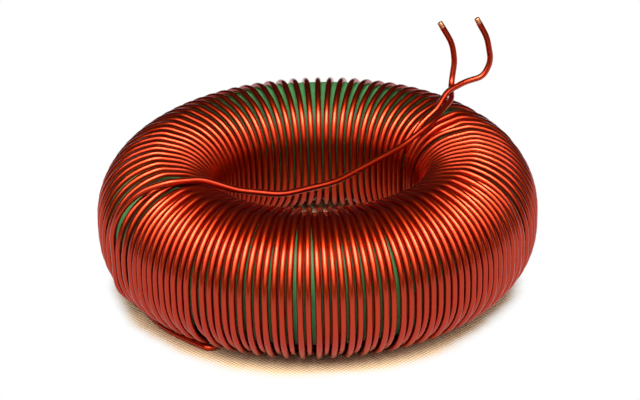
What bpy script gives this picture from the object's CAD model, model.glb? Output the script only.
"""Crossover inductor: an enamelled wire with bare ends, and its coated core, in place of the CAD nodes."""

import math

import bpy
import numpy as np
from mathutils import Matrix, Vector


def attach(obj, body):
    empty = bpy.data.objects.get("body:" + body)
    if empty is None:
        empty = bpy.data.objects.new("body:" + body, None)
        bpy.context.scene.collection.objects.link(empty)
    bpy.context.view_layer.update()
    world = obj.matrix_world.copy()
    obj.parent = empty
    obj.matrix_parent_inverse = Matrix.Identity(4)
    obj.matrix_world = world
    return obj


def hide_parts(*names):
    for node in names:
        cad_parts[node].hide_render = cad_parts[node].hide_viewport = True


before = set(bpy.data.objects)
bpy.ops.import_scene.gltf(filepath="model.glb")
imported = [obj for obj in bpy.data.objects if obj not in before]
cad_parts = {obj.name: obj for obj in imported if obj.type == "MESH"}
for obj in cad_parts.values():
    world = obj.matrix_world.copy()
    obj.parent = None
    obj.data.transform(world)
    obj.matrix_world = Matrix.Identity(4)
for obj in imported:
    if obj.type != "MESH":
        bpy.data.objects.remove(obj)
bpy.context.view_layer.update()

MM = 0.001

# ---------------------------------------------------------------- sizes in mm, as in the part's source
CORE_OD = 59.7
CORE_ID = 32
CORE_H = 16.9
CORE_EDGE = 6.9
CORE_Z = 1.95
WIRE_D = 0.9
WOUND_OD = 63
WOUND_ID = 27.9
WOUND_H = 20.4
LAYER_STEP = 0.8
OUTER_TOP_BEND = 9.4
INNER_TOP_BEND = 7.4
BOTTOM_BEND = 8

# Turns in each stretch of the winding, and their spacing in degrees
FIRST_TURN = 32.7
OPEN_TURNS, OPEN_PITCH = 39, 4.33
JOINING_TURNS, JOINING_PITCH = 3, 3.25
CLOSE_TURNS, CLOSE_PITCH = 57, 2.08
SIDE_TURNS, SIDE_PITCH = 9, 3.45
LAST_TURNS, LAST_PITCH = 5, 3
TURNS = 1 + OPEN_TURNS + JOINING_TURNS + CLOSE_TURNS + SIDE_TURNS + LAST_TURNS
GAP_FOR_LEAD = 4
GAP_BEFORE_LAST = 1.5
GAP_AFTER_FIRST_LAST = 4.2

# Middle line of a turn
WIRE_R = WIRE_D / 2
OUTER_R = WOUND_OD / 2 - WIRE_R
INNER_R = WOUND_ID / 2 + WIRE_R
FLOOR_Z = WIRE_R
TOP_Z = WOUND_H - WIRE_R
CROWN_R = 22.5
CROWN_RISE = 1.8
CROWN_BEND = 3.5
CORNERS_PER_TURN = 5

# Lean of the turns over the top, in degrees
TOP_LEAN = -0.8
LEAD_LEAN = 1.4
SIDE_LEAN = 0.6
FIRST_LAST_LEAN = 8.42
LAST_LEAN, LAST_LEAN_STEP = 4.97, 0.95

# The wire's run to its second end crosses under the ring below this packed turn, whose
# neighbours move aside
CROSSED_TURN = OPEN_TURNS + 13
CROSSING_GAP = 0.45
CROSSING_LIFT = 0.95

# Turns on the near wall after which the winding stands open or ajar, and by how many degrees
OPEN_AFTER, OPENING = (65, 67, 77), 0.5
AJAR_AFTER, AJAR = (59, 62, 71, 73, 75), 0.2

# Run round the foot of the ring, first inside the hole and then outside, and the leads at
# its two ends, each of which passes the ring beside an open turn
HIDDEN_R = 17.6
SHOWN_R = 27.3
LEAD_PITCH = 4.2
START_ANGLE = FIRST_TURN - LEAD_PITCH

# ---------------------------------------------------------------- visual pieces, in mm and degrees
BEND_STEP = 7.5
STRAIGHT_STEP = 1.6
WIRE_SIDES = 12
TIP_SIDES = 16
BARE = 0.9

# The open turns lie in the core's coating, which is drawn out to them between two bearings
# of its section and between two angles of the ring. One of those turns gives the outline.
SUNK = 0.18
SAMPLE_TURN = 20
SEATED_BEARINGS, BEARING_FADE = (-60, 100), 30
SEATED_ANGLES, ANGLE_FADE = (33, 200), 5
SECTION_STEP = 2
CORE_STEP = 1
OUTLINE_POINTS = 4000

# ---------------------------------------------------------------- table, light and camera, in metres
TABLE_REACH = 4
TABLE_FRONT = -0.12
# The cloth fades out at a ragged edge round the ring, and is darker inside the hole
CLOTH_SHIFT = (0.0003, 0.0002, 0)
CLOTH_FADE = (0.0279, 0.0306)
CLOTH_RAGGED = 0.004
THREAD_PITCH = 0.00062
HOLE_SHADE = (0.012, 0.022)
# The table throws little light back from behind the object
BEHIND_FADE = (0.06, 0.16)
ROOM_COLOUR, ROOM_STRENGTH = (1.0, 0.95, 0.90), 0.05
LAMP_TARGET = (0, 0, 0.01)
CAMERA_PLACE = (0.0004, -0.23362, 0.12807)
CAMERA_PITCH, CAMERA_ROLL = 26.59, -1.527
CAMERA_LENS, SENSOR_WIDTH = 102.3, 36


# ---------------------------------------------------------------- the wire's route, as in the part's source
def polar(r, angle, z):
    """Point at a radius, an angle in degrees and a height."""
    a = math.radians(angle)
    return (r * math.cos(a), r * math.sin(a), z)


def stretches(i):
    """How many turns i is past the open, the joining, the close and the side turns."""
    joining = i - OPEN_TURNS
    close = joining - JOINING_TURNS
    side = close - CLOSE_TURNS
    last = side - SIDE_TURNS
    return joining, close, side, last


def turn_angle(i):
    """Angle of turn i on the outer wall."""
    joining, close, side, last = stretches(i)
    return (
        FIRST_TURN
        + min(i, OPEN_TURNS) * OPEN_PITCH
        + (GAP_FOR_LEAD if joining > 0 else 0)
        + max(0, min(joining, JOINING_TURNS)) * JOINING_PITCH
        + max(0, min(close, CLOSE_TURNS)) * CLOSE_PITCH
        + max(0, min(side, SIDE_TURNS)) * SIDE_PITCH
        + (GAP_BEFORE_LAST + last * LAST_PITCH if last > 0 else 0)
        + (GAP_AFTER_FIRST_LAST if last > 1 else 0)
    )


def lean(i):
    """Angle by which turn i leans on its way over the top."""
    joining, _, side, last = stretches(i)
    angle = TOP_LEAN
    if joining <= 0:
        angle += LEAD_LEAN * max(0, 1 + joining / 3)
    else:
        angle -= LEAD_LEAN * max(0, 1 - (joining - 1) / 3)
    if side > 0 and last <= 0:
        angle += SIDE_LEAN * side
    if last == 1:
        angle += FIRST_LAST_LEAN
    elif last > 1:
        angle += LAST_LEAN - LAST_LEAN_STEP * last
    return angle


def crown_share(i):
    """Part of the lean of turn i that is done at the crown."""
    last = stretches(i)[-1]
    return 0.35 if last == 1 else 0.9 if last > 1 else 0.5


def packed(i):
    """1 for a turn that is packed in behind its neighbours, 0 for the others."""
    joining, _, side, _ = stretches(i)
    return 1 if joining > 0 and joining % 2 == 1 and (side <= 0 or side > SIDE_TURNS) else 0


def moved(n, angle):
    """Angle by which something moves away from a place n turns off, less the farther off it is."""
    return math.copysign(angle, n) * max(0, 1 - (abs(n) - 1) / 4) if n else 0


def spread(i, places, angle):
    """Angle by which turn i moves along the outer wall, away from the open places near it."""
    return sum(moved(i - k if i > k else i - k - 1, angle / 2) for k in places)


def turn(i):
    """Turn i: up the outer wall, over the top, down the hole."""
    a = turn_angle(i)
    b = a + lean(i)
    wall = a + spread(i, OPEN_AFTER, OPENING) + spread(i, AJAR_AFTER, AJAR)
    wall_foot = wall + moved(i - CROSSED_TURN - 1, CROSSING_GAP)
    hole_foot = b + moved(i - CROSSED_TURN, CROSSING_GAP)
    p = packed(i)
    step = p * LAYER_STEP
    lift = CROSSING_LIFT if i == CROSSED_TURN + 1 else 0
    foot_bend = BOTTOM_BEND - 0.3 * p - (0.5 if i == CROSSED_TURN else 0)
    return [
        (polar(OUTER_R, wall_foot, FLOOR_Z + lift), BOTTOM_BEND),
        (polar(OUTER_R, wall, TOP_Z - CROWN_RISE), OUTER_TOP_BEND - p),
        (polar(CROWN_R, a + crown_share(i) * lean(i), TOP_Z - 0.45 * p), CROWN_BEND - p),
        (polar(INNER_R + step, b, TOP_Z - CROWN_RISE - 0.85 * step), INNER_TOP_BEND - 0.6 * p),
        (polar(INNER_R + step, hole_foot, FLOOR_Z + 1.3 * step), foot_bend),
    ]


def start_lead():
    """Lead that starts the winding: its free end, the twist, and down the hole."""
    return [
        ((24.0, 16.0, 32.2), 0),
        ((25.6, 15.8, 29.2), 6),
        ((26.2, 15.4, 25.6), 3.5),
        ((25.0, 14.9, 23.4), 2),
        ((22.4, 14.3, 22.9), 4),
        ((19.6, 12.4, 22.3), 4),
        ((17.8, 10.0, 20.5), 4),
        (polar(INNER_R + LAYER_STEP, START_ANGLE, 17.5), 6.8),
        (polar(INNER_R + LAYER_STEP, START_ANGLE, FLOOR_Z + 1.04), BOTTOM_BEND - 0.3),
    ]


def foot_run(rise_angle):
    """Run round the foot of the ring, under it, and up between two open turns."""
    cos7, cos12 = math.cos(math.radians(7)), math.cos(math.radians(12))
    crossing_angle = (turn_angle(CROSSED_TURN) + turn_angle(CROSSED_TURN + 1)) / 2
    inside = [(polar(HIDDEN_R / cos12, a, FLOOR_Z), 8 if a == 350 else 10) for a in range(350, 253, -24)]
    return inside + [
        (polar(HIDDEN_R, crossing_angle - 0.4, FLOOR_Z), 2),
        (polar(SHOWN_R, crossing_angle + 0.2, FLOOR_Z), 1.2),
        (polar(SHOWN_R / cos7, 218.5, FLOOR_Z), 20),
        (polar(SHOWN_R, 203.6, FLOOR_Z), 1.6),
        (polar(OUTER_R, rise_angle, 5), 5),
    ]


def end_lead(rise_angle):
    """Lead that ends the winding: over the top, across the hole, the twist, its free end."""
    return [
        (polar(OUTER_R + 0.3, rise_angle + 0.6, TOP_Z - 0.9), 8.4),
        ((-19.6, -13.1, 21.0), 5),
        ((-15.6, -11.7, 20.6), 6),
        ((-10.8, -10.9, 18.4), 8),
        ((-4.8, -9.4, 16.8), 10),
        ((2.7, -5.4, 16.6), 12),
        ((12.5, 2.6, 18.2), 12),
        ((16.8, 6.2, 20.0), 6),
        ((20.1, 11.5, 21.3), 4),
        ((20.3, 15.6, 21.6), 2.5),
        ((20.9, 16.6, 25.2), 5),
        ((20.6, 17.0, 27.9), 6),
        ((18.7, 17.3, 31.2), 0),
    ]


def route():
    """Corners of the wire's middle line, each with its bend radius, in the order of winding."""
    rise_angle = turn_angle(OPEN_TURNS) + LEAD_PITCH
    final = TURNS - 1
    corners = start_lead()
    for i in range(final):
        corners += turn(i)
    corners += turn(final)[:-1]
    corners.append((polar(INNER_R, turn_angle(final) + lean(final), FLOOR_Z), 3))
    return corners + foot_run(rise_angle) + end_lead(rise_angle)


# ---------------------------------------------------------------- shapes
def unit(v):
    """Vector of length 1 in the direction of v."""
    return v / np.linalg.norm(v)


def bend_points(corner, u, w, radius):
    """Points round the bend at a corner, from direction u to direction w."""
    angle = math.acos(u @ w)
    side = np.cross(unit(np.cross(u, w)), u)
    centre = corner - u * (radius * math.tan(angle / 2)) + side * radius
    count = math.ceil(math.degrees(angle) / BEND_STEP)
    around = [angle * k / count for k in range(count + 1)]
    return [centre + radius * (u * math.sin(t) - side * math.cos(t)) for t in around]


def straight_points(start, end):
    """Points between the two ends of a straight stretch, without the ends."""
    count = math.ceil(np.linalg.norm(end - start) / STRAIGHT_STEP)
    return [start + (end - start) * k / count for k in range(1, count)]


def centre_line(corners):
    """Points along the middle of the bent wire, and the number of the corner that each is at or follows."""
    point = [np.array(place) for place, _ in corners]
    heading = [unit(after - before) for before, after in zip(point, point[1:])]
    bends = [[point[0]]]
    for i, (u, w) in enumerate(zip(heading, heading[1:]), 1):
        bends.append(bend_points(point[i], u, w, corners[i][1]))
    bends.append([point[-1]])
    line, number = list(bends[0]), [0]
    for i, (before, after) in enumerate(zip(bends, bends[1:])):
        straight = straight_points(before[-1], after[0])
        line += straight + after
        number += [i] * len(straight) + [i + 1] * len(after)
    return np.array(line), np.array(number)


def linked(name, data):
    """New object in the scene, made of a mesh, a lamp or a camera."""
    thing = bpy.data.objects.new(name, data)
    bpy.context.scene.collection.objects.link(thing)
    return thing


def smooth_object(name, points, quads):
    """Smooth object from points in mm and facets of four point numbers each."""
    mesh = bpy.data.meshes.new(name)
    mesh.vertices.add(len(points))
    mesh.vertices.foreach_set("co", (points * MM).ravel())
    mesh.loops.add(quads.size)
    mesh.loops.foreach_set("vertex_index", quads.ravel())
    mesh.polygons.add(len(quads))
    mesh.polygons.foreach_set("loop_start", np.arange(0, quads.size, 4))
    mesh.polygons.foreach_set("loop_total", np.full(len(quads), 4))
    mesh.polygons.foreach_set("use_smooth", np.ones(len(quads), bool))
    mesh.update()
    mesh.validate()
    return linked(name, mesh)


def ring_quads(here, ahead, sides):
    """Facets between rings of points, from the first point number of each ring and of the one after it."""
    side = np.arange(sides)
    beside = np.roll(side, -1)
    return np.stack([here + side, here + beside, ahead + beside, ahead + side], -1).reshape(-1, 4)


def tube(name, path, radius, sides):
    """Wire swept along a path in mm. UV x is the length along the wire in mm, UV y the place round it."""
    rings = len(path)
    ahead = np.gradient(path, axis=0)
    ahead /= np.linalg.norm(ahead, axis=1)[:, None]
    across = np.zeros((rings, 3))
    any_other_way = (0.3, 0.2, 1.0)
    across[0] = unit(np.cross(ahead[0], any_other_way))
    for i in range(1, rings):
        across[i] = unit(across[i - 1] - ahead[i] * (across[i - 1] @ ahead[i]))
    upward = np.cross(ahead, across)
    angle = np.arange(sides)[:, None] * 2 * math.pi / sides
    spokes = np.cos(angle) * across[:, None] + np.sin(angle) * upward[:, None]
    points = path[:, None] + np.broadcast_to(radius, rings)[:, None, None] * spokes
    here = np.arange(rings - 1)[:, None] * sides
    wire = smooth_object(name, points.reshape(-1, 3), ring_quads(here, here + sides, sides))

    length = np.r_[0, np.cumsum(np.linalg.norm(np.diff(path, axis=0), axis=1))]
    ring, side = np.indices((rings - 1, sides))
    along = np.stack([length[ring], length[ring], length[ring + 1], length[ring + 1]], -1)
    around = np.stack([side, side + 1, side + 1, side], -1) / sides
    wire.data.uv_layers.new(name="wire").data.foreach_set("uv", np.stack([along, around], -1).ravel())
    return wire


def enamel_end(tip, behind):
    """Where the enamel stops short of the tip."""
    return tip + unit(behind - tip) * BARE


def bare_tip(name, tip, behind):
    """The cut end of the wire: bare copper, a little thinner than the enamel, worn round its flat end."""
    bare_r = WIRE_R - 0.035
    profile = np.array(
        [
            (0, WIRE_R - 0.005),
            (0.3, bare_r),
            (BARE - 0.12, bare_r),
            (BARE - 0.03, WIRE_R - 0.09),
            (BARE, WIRE_R - 0.16),
            (BARE + 0.0005, 0.15),
            (BARE + 0.001, 0.001),
        ]
    )
    place, radius = profile[:, :1], profile[:, 1]
    return tube(name, tip + unit(tip - behind) * (place - BARE), radius, TIP_SIDES)


def rounded_rectangle(width, height, edge):
    """Points round a rectangle with rounded edges, about its middle."""
    angle = np.linspace(0, 2 * math.pi, OUTLINE_POINTS, endpoint=False)
    # Rounded, so that the sign is 0 at the middle of each side
    x, z = np.cos(angle).round(9), np.sin(angle).round(9)
    return np.sign(x) * (width / 2 - edge) + edge * x, np.sign(z) * (height / 2 - edge) + edge * z


def section_radii(bearing, x, z):
    """Distances from the middle of a section to its outline through x and z, at bearings in degrees."""
    return np.interp(np.radians(bearing), np.arctan2(z, x), np.hypot(x, z), period=2 * math.pi)


def between(angle, start, end, fade):
    """1 from a start to an end, 0 outside them, with a straight fade just inside each."""
    return np.clip((angle - start) / fade, 0, 1) * np.clip((end - angle) / fade, 0, 1)


def seated_core(line, number):
    """The core's section turned round, drawn out under the open turns so that they lie in its coating."""
    middle_r, middle_z = (CORE_OD + CORE_ID) / 4, CORE_Z + CORE_H / 2
    bearing = np.arange(-90, 270, SECTION_STEP)
    plain = section_radii(bearing, *rounded_rectangle((CORE_OD - CORE_ID) / 2, CORE_H, CORE_EDGE))

    first = len(start_lead()) + CORNERS_PER_TURN * SAMPLE_TURN
    x, y, z = line[(number >= first) & (number <= first + CORNERS_PER_TURN)].T
    seat = section_radii(bearing, np.hypot(x, y) - middle_r, z - middle_z) - WIRE_R + SUNK
    drawn_out = between(bearing, *SEATED_BEARINGS, BEARING_FADE) * np.maximum(seat - plain, 0)

    angle = np.arange(0, 360, CORE_STEP)[:, None]
    radius = plain + between(angle, *SEATED_ANGLES, ANGLE_FADE) * drawn_out
    r = middle_r + radius * np.cos(np.radians(bearing))
    z = middle_z + radius * np.sin(np.radians(bearing))
    points = np.stack([r * np.cos(np.radians(angle)), r * np.sin(np.radians(angle)), z], -1)
    here = np.arange(len(angle))[:, None] * len(bearing)
    quads = ring_quads(here, np.roll(here, -1, axis=0), len(bearing))
    facing_out = quads[:, [0, 3, 2, 1]]
    return smooth_object("seated_core", points.reshape(-1, 3), facing_out)


# ---------------------------------------------------------------- materials
class Nodes:
    """Builds one node material. An input is a value, or the output socket of another node."""

    def __init__(self, name):
        self.material = bpy.data.materials.new(name)
        self.material.use_nodes = True
        self.tree = self.material.node_tree
        self.tree.nodes.clear()

    def add(self, kind, inputs=None, **settings):
        """New node of a kind."""
        node = self.tree.nodes.new(kind)
        for name, value in settings.items():
            setattr(node, name, value)
        for name, value in (inputs or {}).items():
            if isinstance(value, bpy.types.NodeSocket):
                self.tree.links.new(value, node.inputs[name])
            else:
                node.inputs[name].default_value = value
        return node

    def place(self):
        """Place on the object, in metres."""
        return self.add("ShaderNodeTexCoord").outputs["Object"]

    def stretched(self, vector, scale):
        return self.add("ShaderNodeMapping", {"Vector": vector, "Scale": scale}).outputs["Vector"]

    def noise(self, vector, scale, detail=3.0, rough=0.5):
        inputs = {"Vector": vector, "Scale": scale, "Detail": detail, "Roughness": rough}
        return self.add("ShaderNodeTexNoise", inputs).outputs["Fac"]

    def math(self, operation, first, second=0.0):
        return self.add("ShaderNodeMath", {0: first, 1: second}, operation=operation).outputs[0]

    def fade(self, value, ends, first=0.0, last=1.0):
        """Smooth step between two values, over the stretch between two ends."""
        inputs = {"Value": value, "From Min": ends[0], "From Max": ends[1], "To Min": first, "To Max": last}
        return self.add("ShaderNodeMapRange", inputs, interpolation_type="SMOOTHSTEP").outputs["Result"]

    def ramp(self, value, start, first, end, last):
        """Colour that runs from one at a start value to another at an end value."""
        node = self.add("ShaderNodeValToRGB", {"Fac": value})
        for element, position, colour in zip(node.color_ramp.elements, (start, end), (first, last)):
            element.position = position
            element.color = (*colour, 1)
        return node.outputs["Color"]

    def mix(self, share, first, second):
        """Colour between two others. The node's colour sockets go by number, because their names repeat."""
        first, second = (c if isinstance(c, bpy.types.NodeSocket) else (*c, 1) for c in (first, second))
        return self.add("ShaderNodeMix", {0: share, 6: first, 7: second}, data_type="RGBA").outputs[2]

    def bump(self, height, strength, distance):
        inputs = {"Height": height, "Strength": strength, "Distance": distance}
        return self.add("ShaderNodeBump", inputs).outputs["Normal"]

    def finish(self, shader):
        """The material, with this shader on its surface."""
        self.add("ShaderNodeOutputMaterial", {"Surface": shader.outputs[0]})
        return self.material


def enamel():
    """Red-orange enamel over drawn copper: tinted metal below, a tinted gloss coat on top."""
    m = Nodes("enamelled_copper")
    uv = m.add("ShaderNodeUVMap", uv_map="wire").outputs["UV"]
    place = m.place()
    streak = m.noise(m.stretched(uv, (0.05, 3.0, 1.0)), 6.0, rough=0.6)
    patch = m.noise(place, 90.0, detail=2.0)
    fine = m.noise(place, 2600.0, detail=2.0, rough=0.6)
    red = m.ramp(patch, 0.30, (0.84, 0.15, 0.035), 0.70, (0.96, 0.20, 0.05))
    shader = m.add(
        "ShaderNodeBsdfPrincipled",
        {
            "Base Color": m.mix(m.math("MULTIPLY", streak, 0.30), red, (1.0, 0.32, 0.09)),
            "Metallic": 1.0,
            "Roughness": m.math("ADD", m.math("MULTIPLY", streak, 0.10), 0.29),
            "Normal": m.bump(fine, 0.05, 0.00005),
            "Coat Weight": 1.0,
            "Coat Roughness": 0.13,
            "Coat IOR": 1.28,
            "Coat Tint": (0.55, 0.185, 0.11, 1.0),
            "Specular Tint": (1.0, 0.45, 0.30, 1.0),
        },
    )
    return m.finish(shader)


def copper():
    """Bare copper at the cut ends of the wire."""
    m = Nodes("bare_copper")
    grain = m.noise(m.stretched(m.place(), (1.0, 5.0, 1.0)), 3500.0)
    shader = m.add(
        "ShaderNodeBsdfPrincipled",
        {
            "Base Color": m.ramp(grain, 0.3, (0.52, 0.20, 0.09), 0.7, (0.82, 0.40, 0.22)),
            "Metallic": 1.0,
            "Roughness": 0.38,
            "Normal": m.bump(grain, 0.3, 0.00005),
        },
    )
    return m.finish(shader)


def core_coat():
    """Satin green epoxy over pressed powder: slightly orange-peeled, paler in places."""
    m = Nodes("core_coating")
    place = m.place()
    broad = m.noise(place, 120.0, rough=0.55)
    peel = m.noise(place, 1500.0, detail=2.0)
    green = m.ramp(broad, 0.3, (0.036, 0.170, 0.050), 0.7, (0.060, 0.240, 0.080))
    shader = m.add(
        "ShaderNodeBsdfPrincipled",
        {
            "Base Color": m.mix(m.math("MULTIPLY", peel, 0.25), green, (0.13, 0.34, 0.15)),
            "Roughness": m.math("ADD", m.math("MULTIPLY", broad, 0.15), 0.42),
            "Normal": m.bump(peel, 0.25, 0.0001),
            "Specular IOR Level": 0.35,
        },
    )
    return m.finish(shader)


def linen(m, place, x, y):
    """Colour of the cloth, and the height of its threads."""
    warp = m.math("SINE", m.math("MULTIPLY", x, 2 * math.pi / THREAD_PITCH))
    weft = m.math("SINE", m.math("MULTIPLY", y, 2 * math.pi / THREAD_PITCH))
    weave = m.math("ADD", m.math("MULTIPLY", m.math("MULTIPLY", warp, weft), 0.5), 0.5)
    slub = m.noise(m.stretched(place, (1.0, 3.0, 1.0)), 700.0, rough=0.6)
    colour = m.mix(weave, (0.26, 0.155, 0.07), (0.90, 0.70, 0.46))
    colour = m.mix(m.math("MULTIPLY", slub, 0.35), colour, (0.92, 0.78, 0.58))
    return colour, weave


def seen_as_background(m):
    """1 for rays that show the background, straight or in metal or glass, and 0 for the others."""
    path = m.add("ShaderNodeLightPath")
    seen = m.math("MAXIMUM", path.outputs["Is Camera Ray"], path.outputs["Is Glossy Ray"])
    return m.math("MAXIMUM", seen, path.outputs["Is Transmission Ray"])


def table_top():
    """Tan linen round the foot of the ring, fading to a table that shows plain white."""
    m = Nodes("floor")
    place = m.place()
    apart = m.add("ShaderNodeSeparateXYZ", {"Vector": place})
    x, y = apart.outputs["X"], apart.outputs["Y"]
    shifted = m.add("ShaderNodeVectorMath", {0: place, 1: CLOTH_SHIFT}, operation="ADD").outputs["Vector"]
    distance = m.add("ShaderNodeVectorMath", {0: shifted}, operation="LENGTH").outputs["Value"]
    rough_edge = m.math("SUBTRACT", m.noise(place, 60.0, rough=0.6), 0.5)
    beyond = m.fade(m.math("ADD", distance, m.math("MULTIPLY", rough_edge, CLOTH_RAGGED)), CLOTH_FADE)
    cloth, weave = linen(m, place, x, y)
    shaded = m.mix(m.fade(distance, HOLE_SHADE, 0.5, 0.0), cloth, (0.17, 0.105, 0.055))
    plain = m.mix(m.fade(y, BEHIND_FADE), (0.50, 0.485, 0.46), (0.07, 0.066, 0.06))
    surface = m.add(
        "ShaderNodeBsdfPrincipled",
        {
            "Base Color": m.mix(beyond, shaded, plain),
            "Roughness": 0.9,
            "Normal": m.bump(weave, 0.6, 0.0001),
        },
    )
    white = m.add("ShaderNodeEmission", {"Color": (1, 1, 1, 1), "Strength": 1.0})
    share = m.math("MULTIPLY", beyond, seen_as_background(m))
    shader = m.add("ShaderNodeMixShader", {0: share, 1: surface.outputs[0], 2: white.outputs[0]})
    return m.finish(shader)


# ---------------------------------------------------------------- table, light and camera
def table():
    """The flat table, from a little in front of the object to far behind it."""
    mesh = bpy.data.meshes.new("floor")
    left, right, front, back = -TABLE_REACH, TABLE_REACH, TABLE_FRONT, TABLE_REACH
    corners = [(left, front, 0), (right, front, 0), (right, back, 0), (left, back, 0)]
    mesh.from_pydata(corners, [], [(0, 1, 2, 3)])
    mesh.materials.append(table_top())
    return linked("floor", mesh)


def dim_room():
    """The world: a plain and faintly warm room."""
    world = bpy.data.worlds.new("studio")
    bpy.context.scene.world = world
    world.use_nodes = True
    room = world.node_tree.nodes["Background"]
    room.inputs["Color"].default_value = (*ROOM_COLOUR, 1)
    room.inputs["Strength"].default_value = ROOM_STRENGTH


def soft_lamp(name, place, size, power, colour):
    """Rectangular lamp turned to the object, with its size in metres and its power in watts."""
    lamp = bpy.data.lights.new(name, "AREA")
    lamp.shape = "RECTANGLE"
    lamp.size, lamp.size_y = size
    lamp.energy = power
    lamp.color = colour
    thing = linked(name, lamp)
    thing.location = place
    thing.rotation_euler = (Vector(LAMP_TARGET) - Vector(place)).to_track_quat("-Z", "Y").to_euler()


def camera():
    """The photo's camera: in front of the ring, pitched down and rolled a little, with a long lens."""
    data = bpy.data.cameras.new("camera")
    data.sensor_width = SENSOR_WIDTH
    data.lens = CAMERA_LENS
    data.clip_start = 0.01
    pitch, roll = math.radians(CAMERA_PITCH), math.radians(CAMERA_ROLL)
    forward = Vector((0, math.cos(pitch), -math.sin(pitch)))
    level = Vector((1, 0, 0))
    upright = level.cross(forward)
    right = level * math.cos(roll) + upright * math.sin(roll)
    up = upright * math.cos(roll) - level * math.sin(roll)
    turned = Matrix((right, up, -forward)).transposed().to_4x4()
    thing = linked("camera", data)
    thing.matrix_world = Matrix.Translation(CAMERA_PLACE) @ turned
    return thing


# ---------------------------------------------------------------- the object
line, number = centre_line(route())
enamelled = line.copy()
enamelled[0] = enamel_end(line[0], line[1])
enamelled[-1] = enamel_end(line[-1], line[-2])
wire = tube("enamelled_wire", enamelled, WIRE_R, WIRE_SIDES)
wire.data.materials.append(enamel())
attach(wire, "root")
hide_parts("winding")

bare = copper()
for name, tip, behind in (("bare_end_start", line[0], line[1]), ("bare_end_finish", line[-1], line[-2])):
    end = bare_tip(name, tip, behind)
    end.data.materials.append(bare)
    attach(end, "root")

core = seated_core(line, number)
core.data.materials.append(core_coat())
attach(core, "root")
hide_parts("core")

# ---------------------------------------------------------------- the scene round it
floor = table()
dim_room()
soft_lamp("key", (0.0, -0.24, 0.39), (0.24, 0.18), 2.2, (1.0, 0.94, 0.83))
soft_lamp("wide", (0.0, -0.28, 0.44), (1.0, 0.32), 4.8, (1.0, 0.95, 0.88))
soft_lamp("front", (0.0, -0.45, 0.25), (0.9, 0.26), 0.8, (1.0, 0.94, 0.87))
bpy.context.scene.camera = camera()
bpy.context.scene.view_settings.view_transform = "Standard"
